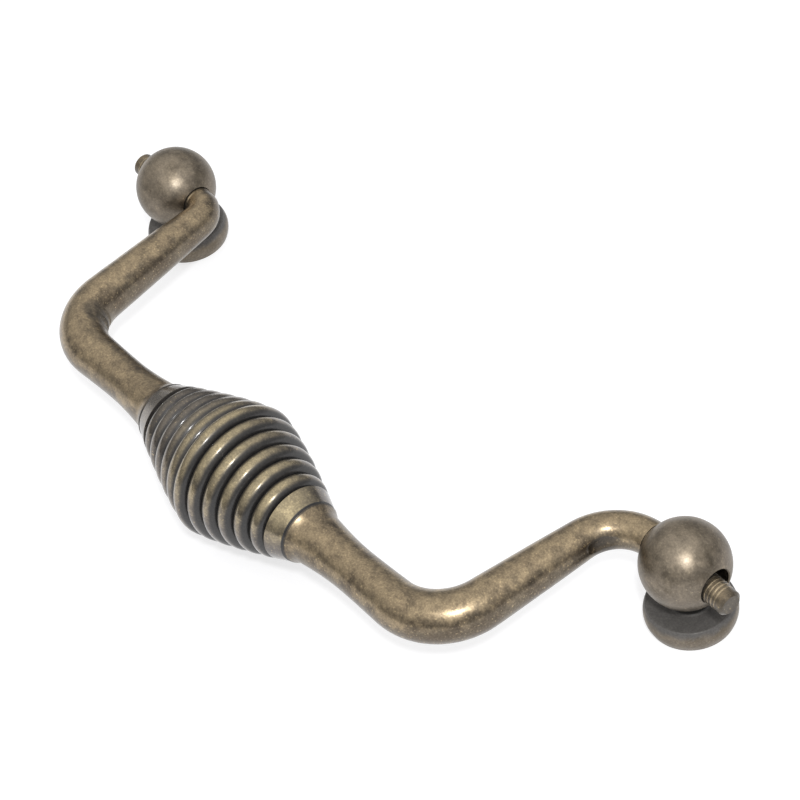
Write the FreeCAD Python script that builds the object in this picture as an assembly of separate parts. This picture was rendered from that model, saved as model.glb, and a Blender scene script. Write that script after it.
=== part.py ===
import FreeCAD, Part
import math
import os
from FreeCAD import Vector

# Fixing and posts
hole_spacing = 128.0
pivot_height = 12.2
ball_radius = 7.0
foot_radius = 7.2
foot_top_radius = 6.8
foot_base_radius = 6.75
foot_height = 4.1
foot_lower_round = 0.4
foot_upper_round = 0.3
neck_radius = 3.0
cove_radius = 0.6
journal_radius = 2.74
journal_clearance = 0.06
bore_edge_break = 0.25
screw_core_radius = 1.65
screw_mouth_break = 0.4
wall_under_bore = 1.9

# Bail
bail_drop = 34.1
leg_angle = 84.0
leg_inset = 12.1
bail_shift = -2.0
lower_bend_radius = 10.0
mouth_gap = 0.25

# Arm thickness from the joint with the grip to the ball
flare_radius = 5.35
throat_radius = 4.45
waist_radius = 3.7
lower_bend_thickness = 4.08
leg_thickness = 3.57
upper_bend_thickness = 2.94
arm_shoulder = 0.12
throat_distance = 2.0
waist_distance = 11.0

# Threaded ends, which stand off the pivot's middle: towards the grip, down, and leaning in degrees
stub_radius = 2.05
stub_reach = 3.4
stub_chamfer = 0.45
stub_root = 1.0
shoulder_recess = 3.0
journal_root = 0.8
left_stub_set = (0.0, 0.5, 0.0)
right_stub_set = (0.35, 0.15, 4.0)

# Joint between arm and grip
spigot_radius = 2.5
spigot_length = 8.0
spigot_clearance = 0.02
spigot_end_room = 0.5
seam_chamfer = 0.2

# Grip
grip_length = 37.8
belly_radius = 11.7
belly_fullness = 1.2
ridge_count = 11
groove_depth = 1.05
collar_length = 3.5
collar_shoulder = 0.5

# Fineness of the bent arms
section_step = 1.1
ring_tries = 6

half_spacing = hole_spacing / 2.0
bore_radius = journal_radius + journal_clearance
bore_mouth = math.sqrt(ball_radius ** 2 - bore_radius ** 2)
rest_tilt = math.degrees(math.asin((pivot_height - belly_radius) / bail_drop))
half_grip = grip_length / 2.0
arm_end_radius = journal_radius + arm_shoulder
leg_top = half_spacing - leg_inset
leg_bottom = leg_top - bail_drop / math.tan(math.radians(leg_angle))
X_AXIS = Vector(1, 0, 0)
Z_AXIS = Vector(0, 0, 1)


def turned(outline):
    """Solid turned about the Z axis from edges that start and end on the axis."""
    wire = Part.Wire(outline)
    return Part.Face(wire).revolve(Vector(), Z_AXIS, 360)


def line(a, b):
    """Straight edge between two points."""
    return Part.LineSegment(a, b).toShape()


def arc(a, middle, b):
    """Round edge through three points."""
    return Part.Arc(a, middle, b).toShape()


def quarter(centre, radius, angle):
    """Three points of a quarter circle in the XZ plane that starts at an angle in degrees."""
    points = []
    for step in (0, 45, 90):
        turn = math.radians(angle + step)
        points.append(centre + Vector(math.cos(turn), 0, math.sin(turn)) * radius)
    return points


def foot_and_neck():
    """Round foot with a bulging side and a flat top, and a slim neck that rises into the ball."""
    low = quarter(Vector(foot_base_radius - foot_lower_round, 0, foot_lower_round), foot_lower_round, -90)
    high = quarter(Vector(foot_top_radius - foot_upper_round, 0, foot_height - foot_upper_round), foot_upper_round, 0)
    bulge = Vector(foot_radius, 0, foot_height / 2.0)
    cove = quarter(Vector(neck_radius + cove_radius, 0, foot_height + cove_radius), cove_radius, 180)
    neck_top = Vector(neck_radius, 0, pivot_height)
    top = Vector(0, 0, pivot_height)
    edges = [
        line(Vector(), low[0]),
        arc(*low),
        arc(low[2], bulge, high[0]),
        arc(*high),
        line(high[2], cove[2]),
        arc(cove[2], cove[1], cove[0]),
        line(cove[0], neck_top),
        line(neck_top, top),
        line(top, Vector()),
    ]
    return turned(edges)


def cross_bore():
    """Hole through the ball along X with broken edges, centred on the ball."""
    reach = ball_radius * 2.0
    bore = Part.makeCylinder(bore_radius, 2.0 * reach, Vector(-reach, 0, 0), X_AXIS)
    for side in (-1, 1):
        mouth = Vector(side * (bore_mouth - bore_edge_break), 0, 0)
        wide = bore_radius + 2.0 * bore_edge_break
        cone = Part.makeCone(bore_radius, wide, 2.0 * bore_edge_break, mouth, X_AXIS * side)
        bore = bore.fuse(cone)
    return bore


def screw_hole():
    """Blind hole for the fixing screw, up from the middle of the foot."""
    depth = pivot_height - bore_radius - wall_under_bore
    hole = Part.makeCylinder(screw_core_radius, depth)
    mouth = Part.makeCone(screw_core_radius + screw_mouth_break, screw_core_radius, screw_mouth_break)
    return hole.fuse(mouth)


def post(side):
    """Turned post: foot, cove, ball, cross bore and screw hole."""
    centre = Vector(0, 0, pivot_height)
    ball = Part.makeSphere(ball_radius, centre)
    body = foot_and_neck().fuse(ball)
    bore = cross_bore()
    bore.translate(centre)
    body = body.cut(bore).cut(screw_hole()).removeSplitter()
    body.translate(Vector(side * half_spacing, 0, 0))
    return body


def upper_bend_radius(side):
    """Bend radius that fills the room between the leg and the mouth of the ball's bore."""
    mouth = half_spacing - bore_mouth - side * bail_shift
    room = mouth - mouth_gap - leg_top
    return room / math.tan(math.radians(leg_angle) / 2.0)


def arm_runs(side):
    """Straight and bent pieces of one arm's middle line: start, direction, length, turn in degrees.

    The arm lies flat in the XY plane, with the pivot on X and the grip towards -Y.
    """
    turn = math.radians(leg_angle)
    upper = upper_bend_radius(side)
    lower_tangent = lower_bend_radius * math.tan(turn / 2.0)
    upper_tangent = upper * math.tan(turn / 2.0)
    leg = Vector(math.cos(turn), math.sin(turn), 0)
    low_corner = Vector(leg_bottom, -bail_drop, 0)
    high_corner = Vector(leg_top, 0, 0)
    seam = Vector(half_grip, -bail_drop, 0)
    lower_start = low_corner - X_AXIS * lower_tangent
    leg_start = low_corner + leg * lower_tangent
    upper_start = high_corner - leg * upper_tangent
    return [
        (seam, X_AXIS, seam.distanceToPoint(lower_start), 0.0),
        (lower_start, X_AXIS, lower_bend_radius * turn, leg_angle),
        (leg_start, leg, leg_start.distanceToPoint(upper_start), 0.0),
        (upper_start, leg, upper * turn, -leg_angle),
    ]


def run_marks(runs):
    """Length along the arm at the start of each piece and at the end of the last."""
    marks = [0.0]
    for run in runs:
        marks.append(marks[-1] + run[2])
    return marks


def place_on_run(run, distance):
    """Point and direction at a distance into one straight or bent piece."""
    start, way, length, degrees = run
    if degrees == 0.0:
        return start + way * distance, way
    radius = length / math.radians(abs(degrees))
    inward = Vector(-way.y, way.x, 0) * math.copysign(1.0, degrees)
    turn = FreeCAD.Rotation(Z_AXIS, degrees * distance / length)
    return start + inward * radius + turn.multVec(inward * -radius), turn.multVec(way)


def arm_stations(runs, spare_rings):
    """Points, directions and lengths at even steps along the middle of one arm, from grip to ball."""
    marks = run_marks(runs)
    count = math.ceil(marks[-1] / section_step) + spare_rings
    stations = []
    for k in range(count + 1):
        along = marks[-1] * k / count
        index = max(i for i in range(len(runs)) if marks[i] <= along)
        point, way = place_on_run(runs[index], along - marks[index])
        stations.append((point, way, along))
    return stations


def slopes(knots):
    """Slope at each named thickness, chosen so that the blend never overshoots."""
    steps = [(r1 - r0) / (s1 - s0) for (s0, r0), (s1, r1) in zip(knots, knots[1:])]
    inner = []
    for before, after in zip(steps, steps[1:]):
        same_way = before * after > 0.0
        inner.append(2.0 * before * after / (before + after) if same_way else 0.0)
    return [1.5 * steps[0] - 0.5 * inner[0]] + inner + [0.0]


def arm_radius(along, marks):
    """Half thickness of the arm at a length along it, blended between the named sizes."""
    middle = [(a + b) / 2.0 for a, b in zip(marks, marks[1:])]
    knots = [
        (0.0, flare_radius),
        (throat_distance, throat_radius),
        (waist_distance, waist_radius),
        (middle[1], lower_bend_thickness),
        (middle[2], leg_thickness),
        (middle[3], upper_bend_thickness),
        (marks[4], arm_end_radius),
    ]
    tilt = slopes(knots)
    for k in range(len(knots) - 1):
        s0, r0 = knots[k]
        s1, r1 = knots[k + 1]
        if along <= s1:
            run = s1 - s0
            t = (along - s0) / run
            near = (1.0 + 2.0 * t) * (1.0 - t) ** 2 * r0 + t * (1.0 - t) ** 2 * run * tilt[k]
            far = t * t * (3.0 - 2.0 * t) * r1 + t * t * (t - 1.0) * run * tilt[k + 1]
            return near + far
    return arm_end_radius


def ring(point, way, radius):
    """Closed round wire square to the arm at one station."""
    sideways = Z_AXIS.cross(way)
    turn = FreeCAD.Rotation(sideways, Z_AXIS, way, "ZXY")
    circle = Part.Circle(Vector(), Z_AXIS, radius).toShape()
    circle.Placement = FreeCAD.Placement(point, turn)
    return Part.Wire([circle])


def seam_break(seam):
    """Ring that takes the sharp edge off the trumpet where it meets the grip."""
    spare = seam_chamfer * 2.0
    inner = Vector(flare_radius - seam_chamfer - spare, 0, -spare)
    outer = Vector(flare_radius + spare, 0, -spare)
    upper = Vector(flare_radius + spare, 0, seam_chamfer + spare)
    cutter = turned([line(inner, outer), line(outer, upper), line(upper, inner)])
    cutter.rotate(Vector(), Vector(0, 1, 0), 90)
    cutter.translate(seam)
    return cutter


def journal(side):
    """Round journal along +X through most of the ball, rooted inside the end of the upper bend."""
    centre = half_spacing - side * bail_shift
    start = centre - bore_mouth - mouth_gap - journal_root
    shoulder = centre + bore_mouth - shoulder_recess
    return Part.makeCylinder(journal_radius, shoulder - start, Vector(start, 0, 0), X_AXIS)


def stub(side):
    """Threaded stub with a chamfered tip, rooted in the end of the journal."""
    centre = half_spacing - side * bail_shift
    start = centre + bore_mouth - shoulder_recess - stub_root
    length = centre + ball_radius + stub_reach - start
    inwards, down, lean = right_stub_set if side > 0 else left_stub_set
    body = Part.makeCylinder(stub_radius, length - stub_chamfer)
    body = body.fuse(
        Part.makeCone(stub_radius, stub_radius - stub_chamfer, stub_chamfer, Vector(0, 0, length - stub_chamfer))
    ).removeSplitter()
    body.rotate(Vector(), Vector(0, 1, 0), 90)
    body.rotate(Vector(), Z_AXIS, -lean)
    body.translate(Vector(start, -inwards, -down))
    return body


def lay_down(shape):
    """Tilt the bail so that the belly of the grip meets the floor, and set it on the pivot."""
    shape.rotate(Vector(), X_AXIS, rest_tilt)
    shape.translate(Vector(bail_shift, 0, pivot_height))
    return shape


def flat_arm(side, spare_rings):
    """One arm before it is laid down, and whether it came out as one sound solid."""
    runs = arm_runs(side)
    marks = run_marks(runs)
    seam = runs[0][0]
    stations = arm_stations(runs, spare_rings)
    rod = Part.makeLoft([ring(p, w, arm_radius(s, marks)) for p, w, s in stations], True, False)
    root = seam + X_AXIS * spigot_radius
    spigot = Part.makeCylinder(spigot_radius, spigot_length + spigot_radius, root, X_AXIS * -1.0)
    body = rod.cut(seam_break(seam)).fuse([spigot, journal(side)]).fuse(stub(side))
    sound = body.isValid() and len(body.Solids) == 1 and body.Volume > rod.Volume
    return body, sound


def arm(side):
    """Bent arm: spigot, trumpet, tapering rod, journal and threaded stub.

    With some numbers of rings the rod can't be cut and joined cleanly, so a few more rings are tried.
    """
    for spare_rings in range(ring_tries):
        body, sound = flat_arm(side, spare_rings)
        if sound:
            break
    if not sound:
        raise ValueError("no number of rings gives a sound arm")
    if side < 0:
        body = body.mirror(Vector(), X_AXIS)
    return lay_down(body)


def crest_radius(along):
    """Outer radius of the grip at a distance from its middle."""
    share = min(abs(along) / half_grip, 1.0) ** belly_fullness
    return belly_radius - (belly_radius - flare_radius) * share


def grip_profile():
    """Edges of half the turned outline, along Z: collar, round ridges, collar."""
    ridged = grip_length - 2.0 * collar_length
    pitch = ridged / ridge_count
    start = -ridged / 2.0
    grooves = []
    for k in range(ridge_count + 1):
        z = start + k * pitch
        grooves.append(Vector(crest_radius(z) - groove_depth, 0, z))
    edges = []
    for k in range(ridge_count):
        z = start + (k + 0.5) * pitch
        edges.append(arc(grooves[k], Vector(crest_radius(z), 0, z), grooves[k + 1]))
    ends = []
    for side, groove in ((-1, grooves[0]), (1, grooves[-1])):
        ends.append(collar_edges(side, groove))
    low, high = ends
    axis_low = Vector(0, 0, -half_grip)
    axis_high = Vector(0, 0, half_grip)
    rim_low = Vector(flare_radius - seam_chamfer, 0, -half_grip)
    rim_high = Vector(flare_radius - seam_chamfer, 0, half_grip)
    edges = [line(axis_low, rim_low)] + low[::-1] + edges + high
    edges += [line(rim_high, axis_high), line(axis_high, axis_low)]
    return edges


def collar_edges(side, groove):
    """Edges of one collar, outwards from the last groove to the joint."""
    shoulder_z = groove.z + side * collar_shoulder
    shoulder = Vector(crest_radius(shoulder_z), 0, shoulder_z)
    rim = Vector(flare_radius, 0, side * (half_grip - seam_chamfer))
    face = Vector(flare_radius - seam_chamfer, 0, side * half_grip)
    return [line(groove, shoulder), line(shoulder, rim), line(rim, face)]


def grip():
    """Turned beehive grip with a blind hole at each end for an arm's spigot."""
    body = turned(Part.sortEdges(grip_profile())[0])
    depth = spigot_length + spigot_end_room
    for side in (-1, 1):
        mouth = Vector(0, 0, side * half_grip)
        body = body.cut(Part.makeCylinder(spigot_radius + spigot_clearance, depth, mouth, Z_AXIS * -side))
    body.rotate(Vector(), Vector(0, 1, 0), 90)
    body.translate(Vector(0, -bail_drop, 0))
    return lay_down(body)


os.makedirs("parts", exist_ok=True)
pieces = {
    "left_post": post(-1),
    "right_post": post(1),
    "left_arm": arm(-1),
    "right_arm": arm(1),
    "beehive_grip": grip(),
}
for name, shape in pieces.items():
    shape.exportStep("parts/" + name + ".step")
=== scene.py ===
"""Dresses the bail pull: two ball posts, two bent arms, a beehive grip and the threaded arm ends.

Sizes are in millimetres where a name or comment doesn't say otherwise. Blender works in metres.
"""

import logging
import math
from dataclasses import dataclass
from enum import Enum

import bpy
from mathutils import Matrix, Vector


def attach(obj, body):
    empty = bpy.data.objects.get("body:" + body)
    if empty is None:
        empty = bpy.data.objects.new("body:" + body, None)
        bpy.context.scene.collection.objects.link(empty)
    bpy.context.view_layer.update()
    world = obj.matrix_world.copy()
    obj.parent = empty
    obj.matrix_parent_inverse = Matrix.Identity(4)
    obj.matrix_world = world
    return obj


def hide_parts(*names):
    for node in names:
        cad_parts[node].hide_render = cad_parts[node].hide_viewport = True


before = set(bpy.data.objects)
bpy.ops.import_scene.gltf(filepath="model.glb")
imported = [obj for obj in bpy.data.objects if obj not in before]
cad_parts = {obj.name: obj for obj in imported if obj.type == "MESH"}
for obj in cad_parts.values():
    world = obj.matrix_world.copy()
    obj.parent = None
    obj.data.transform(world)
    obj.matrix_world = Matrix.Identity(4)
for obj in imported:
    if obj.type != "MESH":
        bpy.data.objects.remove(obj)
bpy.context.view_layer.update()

MM = 0.001
LOG = logging.getLogger("bail_pull")
# The sockets of a Mix node that mixes colours, which share their names with its other sockets
MIX_SHARE = 0
MIX_BELOW = 6
MIX_ABOVE = 7
MIX_RESULT = 2
Place = tuple[float, float, float]
Sockets = dict[str | int, object]


class Side(Enum):
    """The two ends of the pull, with the sign of x at each."""

    LEFT = -1
    RIGHT = 1

    @property
    def word(self) -> str:
        """The name of the side.

        Returns:
            The word that the CAD nodes' names start with.
        """
        return self.name.lower()


def linear(hex_colour: str) -> tuple[float, float, float, float]:
    """Turns an sRGB hex colour into the linear colour that Blender's sockets take.

    Args:
        hex_colour: Six hex digits, red first.

    Returns:
        Linear red, green and blue, with alpha 1.
    """
    shares = [int(hex_colour[i : i + 2], 16) / 255 for i in (0, 2, 4)]
    red, green, blue = (s / 12.92 if s <= 0.04045 else ((s + 0.055) / 1.055) ** 2.4 for s in shares)
    return red, green, blue, 1.0


def add_node(
    tree: bpy.types.NodeTree, kind: str, inputs: Sockets | None = None, **settings: object
) -> bpy.types.Node:
    """Adds a node with its settings, and fills its sockets.

    Args:
        tree: The material's or the world's node tree.
        kind: Blender's name for the node.
        inputs: A number or colour to set, or another node's output to link, by socket.
        settings: The node's own properties.

    Returns:
        The new node.
    """
    node = tree.nodes.new(kind)
    for name, value in settings.items():
        setattr(node, name, value)
    for socket, value in (inputs or {}).items():
        if isinstance(value, bpy.types.NodeSocket):
            tree.links.new(value, node.inputs[socket])
        else:
            node.inputs[socket].default_value = value
    return node


def levels(
    value: bpy.types.NodeSocket, low: float, high: float, at_low: float = 0.0, at_high: float = 1.0
) -> Sockets:
    """Gives the inputs that spread a pattern between two of its levels.

    Args:
        value: The pattern.
        low: Its level that gives at_low.
        high: Its level that gives at_high.
        at_low: The result at the low level.
        at_high: The result at the high level.

    Returns:
        The inputs by socket.
    """
    return {"Value": value, "From Min": low, "From Max": high, "To Min": at_low, "To Max": at_high}


def deselect_everything() -> None:
    """Leaves nothing selected, so that an operator acts only on the next piece."""
    bpy.ops.object.select_all(action="DESELECT")


@dataclass(frozen=True)
class AgedBrass:
    """Antique brass: cast or turned, dipped to a dark brown patina, rubbed back and lacquered.

    The eye gets a brown metal with a soft gloss: near black where the dip stayed in recesses, olive
    gold where it was rubbed off and, as painted light, on the sides that face up and towards the lamp,
    a cloudy drift between the two, gold flecks and a stippled grain.
    The real stipple is nearer 0.1 mm, too fine for the render, so grain_mm draws it coarser.
    """

    name: str
    recess_colour: str
    body_colour: str
    cloud_colour: str
    # the rubbed colour also serves as painted light on the sides facing up and towards the lamp
    rubbed_and_lit_colour: str
    fleck_colour: str
    rubbed_and_lit_share: float = 0.9
    fleck_share: float = 0.5
    speckle_share: float = 0.2
    blotch_share: float = 0.1
    roughness: float = 0.33
    roughness_drift: tuple[float, float] = (-0.05, 0.06)
    recess_dulling: float = 0.25
    oxide_share: float = 0.6
    lacquer: float = 0.35
    lacquer_roughness: float = 0.25
    # the rubbed layer is also painted light: normals facing this way, up and towards the lamp, get the
    # lighter colour
    rubbed_and_lit_towards: Place = (0.05, -0.3, 0.95)
    rubbed_and_lit_from: float = 0.3
    rubbed_and_lit_spread: float = 0.85
    broken_share: float = 1.0
    cloud_mm: float = 4.0
    stain_mm: float = 1.5
    grain_mm: float = 0.32
    noise_detail: float = 3.0
    noise_roughness: float = 0.6
    cloud_levels: tuple[float, float] = (0.38, 0.62)
    fleck_levels: tuple[float, float] = (0.62, 0.72)
    shade_levels: tuple[float, float] = (0.32, 0.68)
    gloss_levels: tuple[float, float] = (0.3, 0.7)
    grain_depth_mm: float = 0.006
    dent_depth_mm: float = 0.016
    recess_reach_mm: float = 1.6
    recess_levels: tuple[float, float] = (0.85, 0.3)
    recess_samples: int = 8

    def material(self) -> bpy.types.Material:
        """Makes the node material of this finish.

        Returns:
            A material that reads only Object coordinates and the surface's own normal.
        """
        made = bpy.data.materials.new(self.name)
        made.use_nodes = True
        tree = made.node_tree
        tree.nodes.clear()
        where = add_node(tree, "ShaderNodeTexCoord")
        in_mm = {"Vector": where.outputs["Object"], "Scale": (1 / MM,) * 3}
        place = add_node(tree, "ShaderNodeMapping", in_mm).outputs["Vector"]
        noise = {"Vector": place, "Detail": self.noise_detail, "Roughness": self.noise_roughness}
        cloud, stain, grain = (
            add_node(tree, "ShaderNodeTexNoise", {**noise, "Scale": 1 / width}).outputs["Fac"]
            for width in (self.cloud_mm, self.stain_mm, self.grain_mm)
        )
        recess = self.recess(tree, place)
        colour = self.colour(tree, where, (cloud, stain, grain), recess)
        glossiest, dullest = (self.roughness + drift for drift in self.roughness_drift)
        gloss = add_node(
            tree, "ShaderNodeMapRange", levels(stain, *self.gloss_levels, glossiest, dullest)
        ).outputs["Result"]
        duller = {0: recess, 1: self.recess_dulling, 2: gloss}
        dulled = add_node(tree, "ShaderNodeMath", duller, operation="MULTIPLY_ADD").outputs["Value"]
        oxidised = {0: recess, 1: -self.oxide_share, 2: 1.0}
        metal = add_node(tree, "ShaderNodeMath", oxidised, operation="MULTIPLY_ADD").outputs["Value"]
        dented = {"Height": stain, "Distance": self.dent_depth_mm * MM, "Strength": 1.0}
        dents = add_node(tree, "ShaderNodeBump", dented).outputs["Normal"]
        grained = {"Height": grain, "Distance": self.grain_depth_mm * MM, "Strength": 1.0}
        stipple = add_node(tree, "ShaderNodeBump", {**grained, "Normal": dents}).outputs["Normal"]
        shader = add_node(
            tree,
            "ShaderNodeBsdfPrincipled",
            {
                "Base Color": colour,
                "Metallic": metal,
                "Roughness": dulled,
                "Normal": stipple,
                "Coat Weight": self.lacquer,
                "Coat Roughness": self.lacquer_roughness,
            },
        )
        add_node(tree, "ShaderNodeOutputMaterial", {"Surface": shader.outputs["BSDF"]})
        return made

    def colour(
        self,
        tree: bpy.types.NodeTree,
        where: bpy.types.Node,
        patterns: tuple[bpy.types.NodeSocket, bpy.types.NodeSocket, bpy.types.NodeSocket],
        recess: bpy.types.NodeSocket,
    ) -> bpy.types.NodeSocket:
        """Lays the colours over each other: body, clouds, rubbed places with painted light on the sides
        facing up and towards the lamp, flecks, recesses and the speckled, blotchy tone.

        Args:
            tree: The material's node tree.
            where: Its Texture Coordinate node.
            patterns: The cloud, stain and grain patterns.
            recess: Where the dark dip stayed.

        Returns:
            The metal's colour.
        """
        cloud, stain, grain = patterns
        clouds, flecks = (
            add_node(tree, "ShaderNodeMapRange", edge, interpolation_type="SMOOTHSTEP").outputs["Result"]
            for edge in (
                levels(cloud, *self.cloud_levels),
                levels(grain, *self.fleck_levels, 0.0, self.fleck_share),
            )
        )
        layers = [
            (clouds, self.cloud_colour),
            # rubbed places, with painted light on the sides facing up and towards the lamp
            (self.rubbed(tree, where, cloud, stain), self.rubbed_and_lit_colour),
            (flecks, self.fleck_colour),
            (recess, self.recess_colour),
        ]
        colour: object = linear(self.body_colour)
        for share, above in layers:
            mixed = {MIX_SHARE: share, MIX_BELOW: colour, MIX_ABOVE: linear(above)}
            colour = add_node(tree, "ShaderNodeMix", mixed, data_type="RGBA").outputs[MIX_RESULT]
        for pattern, share in ((grain, self.speckle_share), (stain, self.blotch_share)):
            shade = add_node(
                tree,
                "ShaderNodeMapRange",
                levels(pattern, *self.shade_levels, 1 - share, 1 + share),
                interpolation_type="SMOOTHSTEP",
            ).outputs["Result"]
            shaded = {0: colour, "Scale": shade}
            colour = add_node(tree, "ShaderNodeVectorMath", shaded, operation="SCALE").outputs[0]
        return colour

    def rubbed(
        self,
        tree: bpy.types.NodeTree,
        where: bpy.types.Node,
        cloud: bpy.types.NodeSocket,
        stain: bpy.types.NodeSocket,
    ) -> bpy.types.NodeSocket:
        """Says how far the patina is rubbed off: most on what hands reach first. It is also painted
        light:
        the sides that face up and towards the lamp get more of the lighter colour.

        Args:
            tree: The material's node tree.
            where: Its Texture Coordinate node.
            cloud: The wide pattern, which makes some places more rubbed than others.
            stain: The small pattern, which breaks the edge of the rubbed places.

        Returns:
            A share from 0 to 1.
        """
        broken = add_node(
            tree,
            "ShaderNodeVectorMath",
            {0: where.outputs["Normal"], 1: Vector(self.rubbed_and_lit_towards).normalized()},
            operation="DOT_PRODUCT",
        ).outputs["Value"]
        for pattern in (cloud, stain):
            more = {0: pattern, 1: self.broken_share, 2: broken}
            broken = add_node(tree, "ShaderNodeMath", more, operation="MULTIPLY_ADD").outputs["Value"]
        low = self.rubbed_and_lit_from + self.broken_share
        return add_node(
            tree,
            "ShaderNodeMapRange",
            levels(broken, low, low + self.rubbed_and_lit_spread, 0.0, self.rubbed_and_lit_share),
            interpolation_type="SMOOTHSTEP",
        ).outputs["Result"]

    def recess(self, tree: bpy.types.NodeTree, place: bpy.types.NodeSocket) -> bpy.types.NodeSocket:
        """Says how much of the dark dip stayed in the surface's hollows.

        Args:
            tree: The material's node tree.
            place: Object coordinates in millimetres.

        Returns:
            A share from 0 to 1.
        """
        reach = {"Distance": self.recess_reach_mm * MM}
        open_sky = add_node(tree, "ShaderNodeAmbientOcclusion", reach, samples=self.recess_samples)
        edge = levels(open_sky.outputs["AO"], *self.recess_levels)
        share = add_node(tree, "ShaderNodeMapRange", edge, interpolation_type="SMOOTHSTEP")
        return share.outputs["Result"]


@dataclass(frozen=True)
class PostBrass(AgedBrass):
    """Antique brass of the posts: the top of the foot, under the ball, is charcoal, as patina that was
    never rubbed and as painted shade from the ball above; the neck gap gets a painted shadow.
    """

    # painted shadow: near-black colour for the gap at the neck, under the ball
    painted_shadow_colour: str = "1c1a18"
    painted_shadow_fade_mm: float = 0.3
    patina_and_shade_share: float = 0.95
    ragged_mm: float = 1.5
    foot_top_mm: float = 4.1
    neck_end_mm: float = 6.4
    neck_fade_mm: float = 0.7

    def recess(self, tree: bpy.types.NodeTree, place: bpy.types.NodeSocket) -> bpy.types.NodeSocket:
        """Takes the charcoal top of the foot and the neck instead of the other hollows: unrubbed patina
        with painted shade from the ball above.

        Args:
            tree: The material's node tree.
            place: Object coordinates in millimetres.

        Returns:
            A share from 0 to 1.
        """
        height = add_node(tree, "ShaderNodeSeparateXYZ", {"Vector": place}).outputs["Z"]
        noise = {"Vector": place, "Scale": 1 / self.stain_mm, "Detail": self.noise_detail}
        stain = add_node(tree, "ShaderNodeTexNoise", noise).outputs["Fac"]
        ragged = add_node(
            tree, "ShaderNodeMath", {0: stain, 1: self.ragged_mm, 2: height}, operation="MULTIPLY_ADD"
        ).outputs["Value"]
        low = self.foot_top_mm - self.ragged_mm / 2
        high = self.foot_top_mm + self.ragged_mm / 3
        # charcoal over the foot top and neck: patina plus painted shade under the ball
        over_foot = add_node(
            tree,
            "ShaderNodeMapRange",
            levels(ragged, low, high, 0.0, self.patina_and_shade_share),
            interpolation_type="SMOOTHSTEP",
        ).outputs["Result"]
        under_ball = add_node(
            tree,
            "ShaderNodeMapRange",
            levels(height, self.neck_end_mm + self.neck_fade_mm, self.neck_end_mm),
            interpolation_type="SMOOTHSTEP",
        ).outputs["Result"]
        both = {0: over_foot, 1: under_ball}
        return add_node(tree, "ShaderNodeMath", both, operation="MULTIPLY").outputs["Value"]

    def colour(
        self,
        tree: bpy.types.NodeTree,
        where: bpy.types.Node,
        patterns: tuple[bpy.types.NodeSocket, bpy.types.NodeSocket, bpy.types.NodeSocket],
        recess: bpy.types.NodeSocket,
    ) -> bpy.types.NodeSocket:
        """Paints the shadow in the neck gap under the ball as a near-black band over the other colours.

        Args:
            tree: The material's node tree.
            where: Its Texture Coordinate node.
            patterns: The cloud, stain and grain patterns.
            recess: Where the dark dip stayed.

        Returns:
            The metal's colour.
        """
        below = super().colour(tree, where, patterns, recess)
        spot = {"Vector": where.outputs["Object"]}
        height = add_node(tree, "ShaderNodeSeparateXYZ", spot).outputs["Z"]
        above_foot = add_node(
            tree,
            "ShaderNodeMapRange",
            levels(height, self.foot_top_mm * MM, (self.foot_top_mm + self.painted_shadow_fade_mm) * MM),
            interpolation_type="SMOOTHSTEP",
        ).outputs["Result"]
        # painted shadow in the neck gap, where shade falls under the ball
        both = {0: above_foot, 1: recess}
        neck_shadow = add_node(tree, "ShaderNodeMath", both, operation="MULTIPLY").outputs["Value"]
        mixed = {MIX_SHARE: neck_shadow, MIX_BELOW: below, MIX_ABOVE: linear(self.painted_shadow_colour)}
        return add_node(tree, "ShaderNodeMix", mixed, data_type="RGBA").outputs[MIX_RESULT]


@dataclass(frozen=True)
class ArmBrass(AgedBrass):
    """Antique brass of the arms: darker round the marks of bending and between the threads."""

    marked_mm: tuple[Place, ...] = ((52.6, -5.6, 12.4), (-45.3, -29.0, 12.9), (-46.6, -29.5, 14.7))
    mark_reach_mm: float = 2.8
    mark_share: float = 0.5
    middle_mm: float = -2.0
    mouth_mm: float = 18.9
    seam_mm: tuple[float, float] = (0.45, 0.27)
    seam_share: float = 0.8
    stub_from_mm: float = 68.5
    stub_fade_mm: float = 1.0
    stub_share: float = 0.45

    def recess(self, tree: bpy.types.NodeTree, place: bpy.types.NodeSocket) -> bpy.types.NodeSocket:
        """Adds the browner stubs, the seam at the grip and the bending marks to the other hollows.

        Args:
            tree: The material's node tree.
            place: Object coordinates in millimetres.

        Returns:
            A share from 0 to 1.
        """
        along = add_node(tree, "ShaderNodeSeparateXYZ", {"Vector": place}).outputs["X"]
        outwards = add_node(tree, "ShaderNodeMath", {0: along}, operation="ABSOLUTE").outputs["Value"]
        from_middle = {0: along, 1: self.middle_mm}
        off = add_node(tree, "ShaderNodeMath", from_middle, operation="SUBTRACT").outputs["Value"]
        distance = add_node(tree, "ShaderNodeMath", {0: off}, operation="ABSOLUTE").outputs["Value"]
        seam = (self.mouth_mm + end for end in self.seam_mm)
        stub = (self.stub_from_mm, self.stub_from_mm + self.stub_fade_mm)
        edges = [
            levels(outwards, *stub, 0.0, self.stub_share),
            levels(distance, *seam, 0.0, self.seam_share),
        ]
        # darker round each bending mark
        for spot in self.marked_mm:
            between = {0: place, 1: spot}
            away = add_node(tree, "ShaderNodeVectorMath", between, operation="DISTANCE").outputs["Value"]
            edges.append(levels(away, self.mark_reach_mm, self.mark_reach_mm / 2, 0.0, self.mark_share))
        hollow = super().recess(tree, place)
        for edge in edges:
            mask = add_node(tree, "ShaderNodeMapRange", edge, interpolation_type="SMOOTHSTEP")
            both = {0: hollow, 1: mask.outputs["Result"]}
            hollow = add_node(tree, "ShaderNodeMath", both, operation="MAXIMUM").outputs["Value"]
        return hollow


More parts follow.
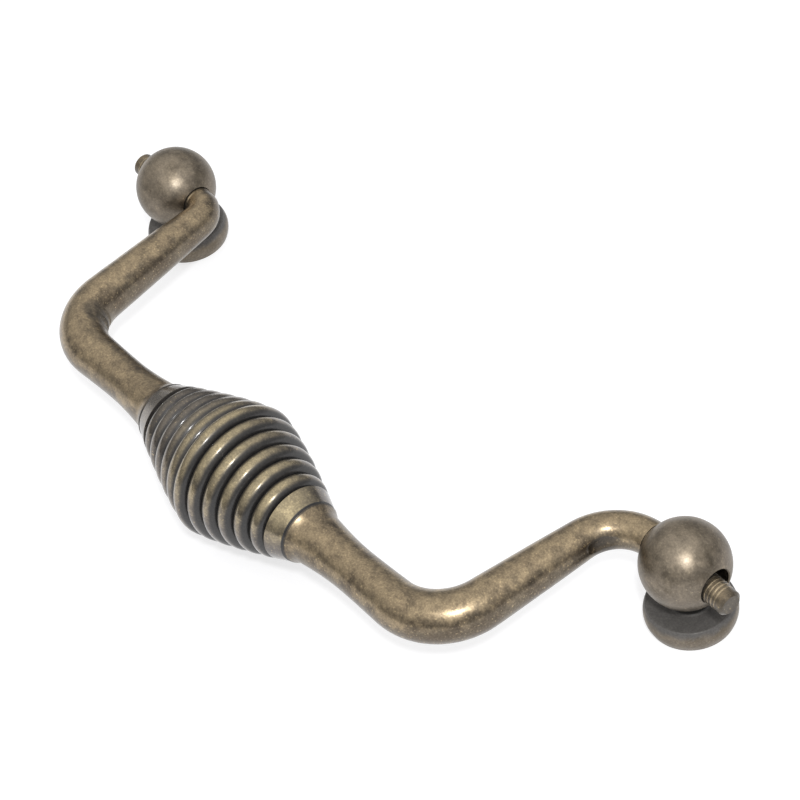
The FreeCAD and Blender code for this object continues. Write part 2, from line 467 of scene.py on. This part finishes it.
@dataclass(frozen=True)
class GripBrass(AgedBrass):
    """Antique brass turned to a beehive: the grooves are charcoal, partly the dip that stayed there and
    partly painted shade, and the left end grey.
    """

    ridge_pitch_mm: float = 2.8
    ridged_half_mm: float = 15.4
    ridged_fade_mm: float = 0.35
    half_length_mm: float = 18.9
    middle_mm: float = -2.0
    groove_patina_shade_levels: tuple[float, float] = (0.7, -0.7)
    groove_patina_shade_share: float = 0.95
    seam_mm: tuple[float, float] = (-0.35, -0.2)
    grey_end_share: float = 0.1

    def recess(self, tree: bpy.types.NodeTree, place: bpy.types.NodeSocket) -> bpy.types.NodeSocket:
        """Adds the turned grooves, which follow the grip's axis, and the seams to the other hollows. The
        grooves' darkness is partly patina and partly painted shade.

        Args:
            tree: The material's node tree.
            place: Object coordinates in millimetres.

        Returns:
            A share from 0 to 1.
        """
        along = add_node(tree, "ShaderNodeSeparateXYZ", {"Vector": place}).outputs["X"]
        turn = 2 * math.pi / self.ridge_pitch_mm
        counted = {0: along, 1: turn, 2: -turn * self.middle_mm}
        turns = add_node(tree, "ShaderNodeMath", counted, operation="MULTIPLY_ADD").outputs["Value"]
        wave = add_node(tree, "ShaderNodeMath", {0: turns}, operation="COSINE").outputs["Value"]
        from_middle = {0: along, 1: self.middle_mm}
        off = add_node(tree, "ShaderNodeMath", from_middle, operation="SUBTRACT").outputs["Value"]
        distance = add_node(tree, "ShaderNodeMath", {0: off}, operation="ABSOLUTE").outputs["Value"]
        # dark grooves: patina plus painted shade, which leaves only the crests gold
        dark, ridged, seam = (
            add_node(tree, "ShaderNodeMapRange", edge, interpolation_type="SMOOTHSTEP").outputs["Result"]
            for edge in (
                levels(wave, *self.groove_patina_shade_levels, 0.0, self.groove_patina_shade_share),
                levels(distance, self.ridged_half_mm + self.ridged_fade_mm, self.ridged_half_mm),
                levels(distance, *(self.half_length_mm + end for end in self.seam_mm)),
            )
        )
        turned = {0: dark, 1: ridged}
        groove_patina_shade = add_node(tree, "ShaderNodeMath", turned, operation="MULTIPLY").outputs["Value"]
        hollow = super().recess(tree, place)
        for mask in (groove_patina_shade, seam):
            both = {0: hollow, 1: mask}
            hollow = add_node(tree, "ShaderNodeMath", both, operation="MAXIMUM").outputs["Value"]
        return hollow

    def rubbed(
        self,
        tree: bpy.types.NodeTree,
        where: bpy.types.Node,
        cloud: bpy.types.NodeSocket,
        stain: bpy.types.NodeSocket,
    ) -> bpy.types.NodeSocket:
        """Leaves the grip's left end grey, because it was rubbed least.

        Args:
            tree: The material's node tree.
            where: Its Texture Coordinate node.
            cloud: The wide pattern, which makes some places more rubbed than others.
            stain: The small pattern, which breaks the edge of the rubbed places.

        Returns:
            A share from 0 to 1.
        """
        share = super().rubbed(tree, where, cloud, stain)
        spot = {"Vector": where.outputs["Object"]}
        along = add_node(tree, "ShaderNodeSeparateXYZ", spot).outputs["X"]
        grey_end = (self.middle_mm - self.ridged_half_mm / 2) * MM
        kept = add_node(
            tree,
            "ShaderNodeMapRange",
            levels(along, grey_end, self.middle_mm * MM, self.grey_end_share),
            interpolation_type="SMOOTHSTEP",
        ).outputs["Result"]
        both = {0: share, 1: kept}
        return add_node(tree, "ShaderNodeMath", both, operation="MULTIPLY").outputs["Value"]


POST_BRASS = PostBrass(
    name="antique_brass_posts",
    # on the posts this colour is the foot's charcoal top: patina plus painted shade under the ball
    recess_colour="656361",
    body_colour="6b6255",
    cloud_colour="7b7266",
    rubbed_and_lit_colour="a09380",
    fleck_colour="b4a68a",
    rubbed_and_lit_share=0.65,
    fleck_share=0.35,
    speckle_share=0.13,
    blotch_share=0.07,
    roughness=0.42,
    lacquer=0.12,
)
ARM_BRASS = ArmBrass(
    name="antique_brass_arms",
    recess_colour="2b2927",
    body_colour="655a4c",
    cloud_colour="726859",
    rubbed_and_lit_colour="a99678",
    fleck_colour="cab388",
    fleck_share=0.7,
)
THREAD_BRASS = AgedBrass(
    name="antique_brass_thread",
    recess_colour="2b2927",
    body_colour="80735f",
    cloud_colour="8d806b",
    rubbed_and_lit_colour="b8a688",
    fleck_colour="cab388",
)
GRIP_BRASS = GripBrass(
    name="antique_brass_grip",
    # on the grip this colour also paints shade into the grooves
    recess_colour="2b2a2a",
    body_colour="605a55",
    cloud_colour="716a63",
    rubbed_and_lit_colour="b5a582",
    fleck_colour="d6c092",
    rubbed_and_lit_share=0.95,
    fleck_share=0.6,
    speckle_share=0.18,
    roughness=0.22,
    lacquer=0.6,
    lacquer_roughness=0.16,
    broken_share=0.5,
    dent_depth_mm=0.007,
)


@dataclass
class Bench:
    """The five CAD pieces, which keep their shapes and get their finishes."""

    finishes: dict[str, AgedBrass]

    def dress(self) -> dict[str, bpy.types.Material]:
        """Puts each node's finish in its material slot.

        Returns:
            The materials by the finishes' names.
        """
        made = {finish.name: finish.material() for finish in dict.fromkeys(self.finishes.values())}
        for node, finish in self.finishes.items():
            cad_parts[node].material_slots[0].material = made[finish.name]
            LOG.info("%s is dressed in %s", node, finish.name)
        return made


@dataclass(frozen=True)
class Bend:
    """The middle of one bend of an arm: a point on the rod's middle line and the way inwards."""

    rod_middle_mm: Place
    inwards: Place
    rod_radius_mm: float
    radius_mm: float


@dataclass(frozen=True)
class Wrinkle:
    """A fold across the inner side of a bend, where bending squeezed the rod.

    It is cut by a ring round the rod, which stands off the rod on the outer side of the bend.
    """

    bend: Bend
    turn_deg: float
    width_mm: float
    depth_mm: float
    stand_off_mm: float
    ring_steps: int = 120
    wire_steps: int = 16

    def cutter(self) -> bpy.types.Object:
        """Makes the ring that cuts the fold.

        Returns:
            The ring in its place.
        """
        bend = self.bend
        inwards = Vector(bend.inwards).normalized()
        turned = Matrix.Rotation(math.radians(self.turn_deg), 3, "Z") @ inwards
        bend_middle = Vector(bend.rod_middle_mm) + inwards * bend.radius_mm
        off = self.width_mm / 2 - self.depth_mm - self.stand_off_mm
        middle = bend_middle - turned * (bend.radius_mm - off)
        deselect_everything()
        bpy.ops.mesh.primitive_torus_add(
            major_segments=self.ring_steps,
            minor_segments=self.wire_steps,
            major_radius=(bend.rod_radius_mm + self.stand_off_mm) * MM,
            minor_radius=self.width_mm * MM / 2,
        )
        ring = bpy.context.object
        along = turned.cross(Vector((0, 0, 1)))
        facing = along.to_track_quat("Z", "Y").to_matrix().to_4x4()
        ring.matrix_world = Matrix.Translation(middle * MM) @ facing
        return ring


@dataclass(frozen=True)
class Dent:
    """A shallow hollow that a bending tool pressed into the rod."""

    surface_mm: Place
    outwards: Place
    radii_mm: Place
    depth_mm: float
    steps: int = 64

    def cutter(self) -> bpy.types.Object:
        """Makes the round body that presses the hollow: long along the rod.

        Returns:
            The round body in its place.
        """
        outwards = Vector(self.outwards).normalized()
        deselect_everything()
        bpy.ops.mesh.primitive_uv_sphere_add(segments=self.steps, ring_count=self.steps // 2, radius=MM)
        tool = bpy.context.object
        bpy.ops.object.mode_set(mode="EDIT")
        bpy.ops.mesh.select_all(action="SELECT")
        bpy.ops.transform.resize(value=self.radii_mm)
        bpy.ops.object.mode_set(mode="OBJECT")
        middle = Vector(self.surface_mm) + outwards * (self.radii_mm[2] - self.depth_mm)
        facing = outwards.to_track_quat("Z", "Y").to_matrix().to_4x4()
        tool.matrix_world = Matrix.Translation(middle * MM) @ facing
        return tool


@dataclass
class BentArm:
    """One arm as bending and wear left it: the CAD shape with its folds, its dent and a rounded tip."""

    side: Side
    marks: tuple[Wrinkle | Dent, ...]
    tip_mm: float = 73.8
    tip_round_mm: float = 0.3
    tip_steps: int = 4
    join_mm: float = 0.001
    flat_deg: float = 1.0
    sharp_deg: float = 20.0
    smooth_deg: float = 35.0
    normal_reach_mm: float = 0.012

    def build(self, finish: bpy.types.Material) -> bpy.types.Object:
        """Copies the arm's shape, rounds its tip and cuts its marks.

        Args:
            finish: The material that it wears.

        Returns:
            The finished piece, which stands for the CAD arm.
        """
        node = f"{self.side.word}_arm"
        arm = self.copy_shape(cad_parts[node])
        self.round_tip(arm)
        for mark in self.marks:
            self.cut(arm, mark.cutter())
        self.smooth(arm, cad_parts[node])
        arm.data.materials.clear()
        arm.data.materials.append(finish)
        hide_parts(node)
        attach(arm, "bail")
        LOG.info("%s has %d marks", arm.name, len(self.marks))
        return arm

    def copy_shape(self, node: bpy.types.Object) -> bpy.types.Object:
        """Copies the CAD arm's mesh and joins its loose triangles.

        Args:
            node: The CAD arm.

        Returns:
            A closed copy.
        """
        arm = bpy.data.objects.new(f"{self.side.word}_bent_arm", node.data.copy())
        arm.data.name = arm.name
        bpy.context.scene.collection.objects.link(arm)
        deselect_everything()
        arm.select_set(True)
        bpy.context.view_layer.objects.active = arm
        bpy.ops.mesh.customdata_custom_splitnormals_clear()
        bpy.ops.object.mode_set(mode="EDIT")
        bpy.ops.mesh.select_all(action="SELECT")
        bpy.ops.mesh.remove_doubles(threshold=self.join_mm * MM)
        bpy.ops.mesh.select_all(action="DESELECT")
        bpy.ops.object.mode_set(mode="OBJECT")
        return arm

    def round_tip(self, arm: bpy.types.Object) -> None:
        """Rounds the two sharp edges at the end of the stub.

        Args:
            arm: The closed copy.
        """
        sign = self.side.value
        for face in arm.data.polygons:
            face.select = sign * face.center.x > self.tip_mm * MM
        bpy.ops.object.mode_set(mode="EDIT")
        bpy.ops.mesh.dissolve_limited(angle_limit=math.radians(self.flat_deg))
        bpy.ops.mesh.select_all(action="DESELECT")
        bpy.ops.mesh.edges_select_sharp(sharpness=math.radians(self.sharp_deg))
        bpy.ops.object.mode_set(mode="OBJECT")
        corners = arm.data.vertices
        for edge in arm.data.edges:
            middle = sum(corners[i].co.x for i in edge.vertices) / 2
            edge.select = edge.select and sign * middle > self.tip_mm * MM
        bpy.ops.object.mode_set(mode="EDIT")
        bpy.ops.mesh.bevel(
            offset=self.tip_round_mm * MM, segments=self.tip_steps, affect="EDGES", clamp_overlap=True
        )
        bpy.ops.mesh.select_all(action="DESELECT")
        bpy.ops.object.mode_set(mode="OBJECT")

    def cut(self, arm: bpy.types.Object, cutter: bpy.types.Object) -> None:
        """Cuts one mark and takes the cutter away.

        Args:
            arm: The arm.
            cutter: The cutter in its place.
        """
        deselect_everything()
        bpy.context.view_layer.objects.active = arm
        arm.select_set(True)
        mark = arm.modifiers.new("mark", "BOOLEAN")
        mark.operation = "DIFFERENCE"
        mark.solver = "EXACT"
        mark.object = cutter
        bpy.ops.object.modifier_apply(modifier=mark.name)
        deselect_everything()
        cutter.select_set(True)
        bpy.ops.object.delete()

    def smooth(self, arm: bpy.types.Object, node: bpy.types.Object) -> None:
        """Shades the arm as the CAD arm is shaded, apart from its marks.

        Args:
            arm: The arm with its marks.
            node: The CAD arm.
        """
        deselect_everything()
        bpy.context.view_layer.objects.active = arm
        arm.select_set(True)
        bpy.ops.object.shade_smooth_by_angle(angle=math.radians(self.smooth_deg))
        kept = arm.modifiers.new("shading", "DATA_TRANSFER")
        kept.object = node
        kept.use_loop_data = True
        kept.data_types_loops = {"CUSTOM_NORMAL"}
        kept.loop_mapping = "POLYINTERP_NEAREST"
        kept.use_max_distance = True
        kept.max_distance = self.normal_reach_mm * MM
        bpy.ops.object.modifier_apply(modifier=kept.name)


@dataclass
class ThreadedEnd:
    """The worn thread on one arm's stub: a helical ridge that sinks away towards the tip.

    It follows the stub's own middle, which stands a little off the pivot and may lean.
    """

    side: Side
    inwards_mm: float = 0.0
    down_mm: float = 0.0
    lean_deg: float = 0.0
    pivot_height_mm: float = 12.2
    root_mm: float = 66.416
    stub_radius_mm: float = 2.05
    pitch_mm: float = 0.7
    crest_mm: float = 0.09
    foot_width_mm: float = 0.38
    start_mm: float = 1.3
    turns: int = 8
    fade_mm: float = 1.4
    steps: int = 40
    section_corners: int = 6
    smooth_deg: float = 40.0

    def build(self, finish: bpy.types.Material) -> bpy.types.Object:
        """Winds the ridge, wears it down and sets it on the stub.

        Args:
            finish: The material that it wears.

        Returns:
            The finished piece, which rides on the bail.
        """
        thread = self.wind()
        self.wear(thread)
        self.set_on_stub(thread)
        thread.data.materials.append(finish)
        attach(thread, "bail")
        LOG.info("%s is wound with %d turns", thread.name, self.turns)
        return thread

    def wind(self) -> bpy.types.Object:
        """Winds the ridge's cross-section about the X axis, from the origin outwards.

        Returns:
            The closed ridge, with its middle on the X axis.
        """
        deselect_everything()
        half_foot = self.foot_width_mm * MM / 2
        bpy.ops.mesh.primitive_circle_add(vertices=self.section_corners, radius=half_foot)
        thread = bpy.context.object
        thread.name = f"{self.side.word}_thread"
        thread.data.name = thread.name
        bpy.ops.object.mode_set(mode="EDIT")
        bpy.ops.mesh.select_all(action="SELECT")
        bpy.ops.transform.resize(value=(1, 2 * self.crest_mm / self.foot_width_mm, 1))
        bpy.ops.transform.translate(value=(0, self.stub_radius_mm * MM, 0))
        bpy.ops.object.mode_set(mode="OBJECT")
        screw = thread.modifiers.new("winding", "SCREW")
        screw.axis = "X"
        screw.screw_offset = self.pitch_mm * MM
        screw.iterations = self.turns
        screw.steps = self.steps
        screw.render_steps = self.steps
        bpy.ops.object.modifier_apply(modifier=screw.name)
        bpy.ops.object.mode_set(mode="EDIT")
        bpy.ops.mesh.select_all(action="DESELECT")
        bpy.ops.mesh.select_non_manifold()
        bpy.ops.mesh.edge_face_add()
        bpy.ops.mesh.select_all(action="SELECT")
        bpy.ops.mesh.normals_make_consistent(inside=False)
        bpy.ops.object.mode_set(mode="OBJECT")
        bpy.ops.object.shade_smooth_by_angle(angle=math.radians(self.smooth_deg))
        return thread

    def wear(self, thread: bpy.types.Object) -> None:
        """Sinks the ridge into the stub over its last turns, as rubbing has done.

        Args:
            thread: The ridge with its middle on the X axis.
        """
        end = self.turns * self.pitch_mm * MM
        for corner in thread.data.vertices:
            left = (end - corner.co.x) / (self.fade_mm * MM)
            sink = self.crest_mm * MM * (1 - min(max(left, 0.0), 1.0))
            radial = Vector((0, corner.co.y, corner.co.z))
            corner.co -= radial.normalized() * sink

    def set_on_stub(self, thread: bpy.types.Object) -> None:
        """Turns and moves the ridge to the stub, and leaves the place in its mesh.

        Args:
            thread: The ridge with its middle on the X axis.
        """
        sign = self.side.value
        root = Vector((sign * self.root_mm, -self.inwards_mm, self.pivot_height_mm - self.down_mm)) * MM
        facing = math.radians(-self.lean_deg if sign > 0 else 180 + self.lean_deg)
        turned = Matrix.Rotation(facing, 4, "Z")
        start = Matrix.Translation((self.start_mm * MM, 0, 0))
        thread.matrix_world = Matrix.Translation(root) @ turned @ start
        bpy.ops.object.transform_apply(location=True, rotation=True, scale=True)


@dataclass
class PhotoCamera:
    """The camera at the photograph's angle, with a long lens, and turned about its own axis."""

    azimuth_deg: float = 59.305
    elevation_deg: float = 45.037
    roll_deg: float = -12.869
    distance_mm: float = 425.987
    target_mm: Place = (7.261, -7.499, 13.413)
    lens_mm: float = 121.335
    sensor_mm: float = 36.0
    nearest_mm: float = 10.0
    farthest_mm: float = 20000.0

    def axes(self) -> tuple[Vector, Vector, Vector]:
        """The camera's own right, up and back directions.

        Returns:
            Three unit vectors in the part's frame.
        """
        turn = math.radians(self.azimuth_deg)
        rise = math.radians(self.elevation_deg)
        roll = math.radians(self.roll_deg)
        level = math.cos(rise)
        back = Vector((math.sin(turn) * level, -math.cos(turn) * level, math.sin(rise)))
        right = Vector((0, 0, 1)).cross(back).normalized()
        up = back.cross(right)
        rolled_right = math.cos(roll) * right + math.sin(roll) * up
        rolled_up = -math.sin(roll) * right + math.cos(roll) * up
        return rolled_right, rolled_up, back

    def eye(self) -> Vector:
        """Where the camera stands.

        Returns:
            The place in metres.
        """
        return (Vector(self.target_mm) + self.axes()[2] * self.distance_mm) * MM

    def place(self) -> None:
        """Adds the camera and makes it the scene's own."""
        turned = Matrix(self.axes()).transposed().to_4x4()
        bpy.ops.object.camera_add()
        camera = bpy.context.object
        camera.name = "photo_camera"
        camera.matrix_world = Matrix.Translation(self.eye()) @ turned
        camera.data.lens = self.lens_mm
        camera.data.sensor_width = self.sensor_mm
        camera.data.clip_start = self.nearest_mm * MM
        camera.data.clip_end = self.farthest_mm * MM
        bpy.context.scene.camera = camera


@dataclass
class Studio:
    """A pale floor, a white tent of soft light and one lamp beside the camera."""

    camera: PhotoCamera
    floor_width_mm: float = 6000.0
    floor_glow: float = 0.67
    floor_colour: str = "b4b4b6"
    key_distance_mm: float = 700.0
    key_width_mm: float = 70.0
    key_lift_deg: float = 9.0
    key_watts: float = 2.0
    tent_colour: str = "ffffff"
    horizon: float = 0.36
    overhead: float = 0.88
    tent_heights: tuple[float, float] = (0.1, 0.9)
    window_glow: float = 0.12
    window_lift_deg: float = 12.0
    window_aim: tuple[float, float] = (0.5, 0.97)

    def build(self) -> None:
        """Sets up the floor, the tent and the lamp."""
        self.lay_floor()
        self.hang_tent()
        self.set_lamp()
        bpy.context.scene.view_settings.view_transform = "Standard"

    def lay_floor(self) -> None:
        """Lays the floor, which looks white to the camera and to the metal, and keeps the shadow."""
        deselect_everything()
        bpy.ops.mesh.primitive_plane_add(size=self.floor_width_mm * MM)
        floor = bpy.context.object
        floor.name = "floor"
        paper = bpy.data.materials.new("white_paper")
        paper.use_nodes = True
        tree = paper.node_tree
        tree.nodes.clear()
        ray = add_node(tree, "ShaderNodeLightPath")
        seen = ray.outputs["Is Camera Ray"]
        for kind in ("Is Glossy Ray", "Is Transmission Ray"):
            either = {0: seen, 1: ray.outputs[kind]}
            seen = add_node(tree, "ShaderNodeMath", either, operation="MAXIMUM").outputs["Value"]
        lit = {0: seen, 1: self.floor_glow}
        glow = add_node(tree, "ShaderNodeMath", lit, operation="MULTIPLY").outputs["Value"]
        shine = add_node(tree, "ShaderNodeEmission", {"Strength": glow})
        matt = add_node(tree, "ShaderNodeBsdfDiffuse", {"Color": linear(self.floor_colour)})
        shaders = {0: shine.outputs["Emission"], 1: matt.outputs["BSDF"]}
        both = add_node(tree, "ShaderNodeAddShader", shaders)
        add_node(tree, "ShaderNodeOutputMaterial", {"Surface": both.outputs["Shader"]})
        floor.data.materials.append(paper)

    def hang_tent(self) -> None:
        """Hangs the tent: dim at the horizon, lighter overhead and a little lighter above the camera."""
        world = bpy.data.worlds.new("light_tent")
        world.use_nodes = True
        tree = world.node_tree
        tree.nodes.clear()
        direction = add_node(tree, "ShaderNodeTexCoord").outputs["Generated"]
        height = add_node(tree, "ShaderNodeSeparateXYZ", {"Vector": direction}).outputs["Z"]
        above = {0: direction, 1: self.raised(self.window_lift_deg)}
        aim = add_node(tree, "ShaderNodeVectorMath", above, operation="DOT_PRODUCT").outputs["Value"]
        sides, glow = (
            add_node(tree, "ShaderNodeMapRange", edge, interpolation_type="SMOOTHSTEP").outputs["Result"]
            for edge in (
                levels(height, *self.tent_heights, self.horizon, self.overhead),
                levels(aim, *self.window_aim, 0.0, self.window_glow),
            )
        )
        both = {0: sides, 1: glow}
        strength = add_node(tree, "ShaderNodeMath", both, operation="ADD").outputs["Value"]
        tent = {"Color": linear(self.tent_colour), "Strength": strength}
        sky = add_node(tree, "ShaderNodeBackground", tent)
        add_node(tree, "ShaderNodeOutputWorld", {"Surface": sky.outputs["Background"]})
        bpy.context.scene.world = world

    def raised(self, lift_deg: float) -> Vector:
        """The direction from the object to a point above the camera.

        Args:
            lift_deg: How far above the camera the point is, as seen from the object.

        Returns:
            A unit vector in the part's frame.
        """
        right, _, back = self.camera.axes()
        return Matrix.Rotation(-math.radians(lift_deg), 3, right) @ back

    def set_lamp(self) -> None:
        """Sets the lamp beside the camera, a little above it."""
        target = Vector(self.camera.target_mm) * MM
        towards = self.raised(self.key_lift_deg)
        bpy.ops.object.light_add(type="AREA")
        lamp = bpy.context.object
        lamp.name = "key_lamp"
        lamp.data.shape = "DISK"
        lamp.data.size = self.key_width_mm * MM
        lamp.data.energy = self.key_watts
        lamp.location = target + towards * self.key_distance_mm * MM
        lamp.rotation_mode = "QUATERNION"
        lamp.rotation_quaternion = towards.to_track_quat("Z", "Y")


LEFT_LOWER_BEND = Bend(
    rod_middle_mm=(-47.5, -31.85, 11.73), inwards=(0.61, 0.79, 0.0), rod_radius_mm=4.08, radius_mm=10.0
)
LEFT_ARM = BentArm(
    Side.LEFT,
    (
        Wrinkle(LEFT_LOWER_BEND, turn_deg=0.0, width_mm=1.6, depth_mm=0.6, stand_off_mm=1.0),
        Wrinkle(LEFT_LOWER_BEND, turn_deg=-15.5, width_mm=1.2, depth_mm=0.32, stand_off_mm=0.85),
        Wrinkle(LEFT_LOWER_BEND, turn_deg=14.5, width_mm=1.2, depth_mm=0.3, stand_off_mm=0.85),
    ),
)
RIGHT_ARM = BentArm(
    Side.RIGHT,
    (
        Dent(
            surface_mm=(52.5, -5.8, 12.7),
            outwards=(0.87, -0.43, 0.24),
            radii_mm=(3.0, 2.4, 2.0),
            depth_mm=0.3,
        ),
    ),
)
LEFT_THREAD = ThreadedEnd(Side.LEFT, down_mm=0.5)
RIGHT_THREAD = ThreadedEnd(Side.RIGHT, inwards_mm=0.35, down_mm=0.15, lean_deg=4.0)


def main() -> None:
    """Builds the scene in order: the finishes, the worn arms, the threads, the camera and the studio."""
    logging.basicConfig(level=logging.INFO, format="%(message)s")
    made = Bench(
        {
            "left_post": POST_BRASS,
            "right_post": POST_BRASS,
            "left_arm": ARM_BRASS,
            "right_arm": ARM_BRASS,
            "beehive_grip": GRIP_BRASS,
        }
    ).dress()
    for arm in (LEFT_ARM, RIGHT_ARM):
        arm.build(made[ARM_BRASS.name])
    worn_crest = THREAD_BRASS.material()
    for thread in (LEFT_THREAD, RIGHT_THREAD):
        thread.build(worn_crest)
    camera = PhotoCamera()
    camera.place()
    Studio(camera).build()


if __name__ == "__main__":
    main()
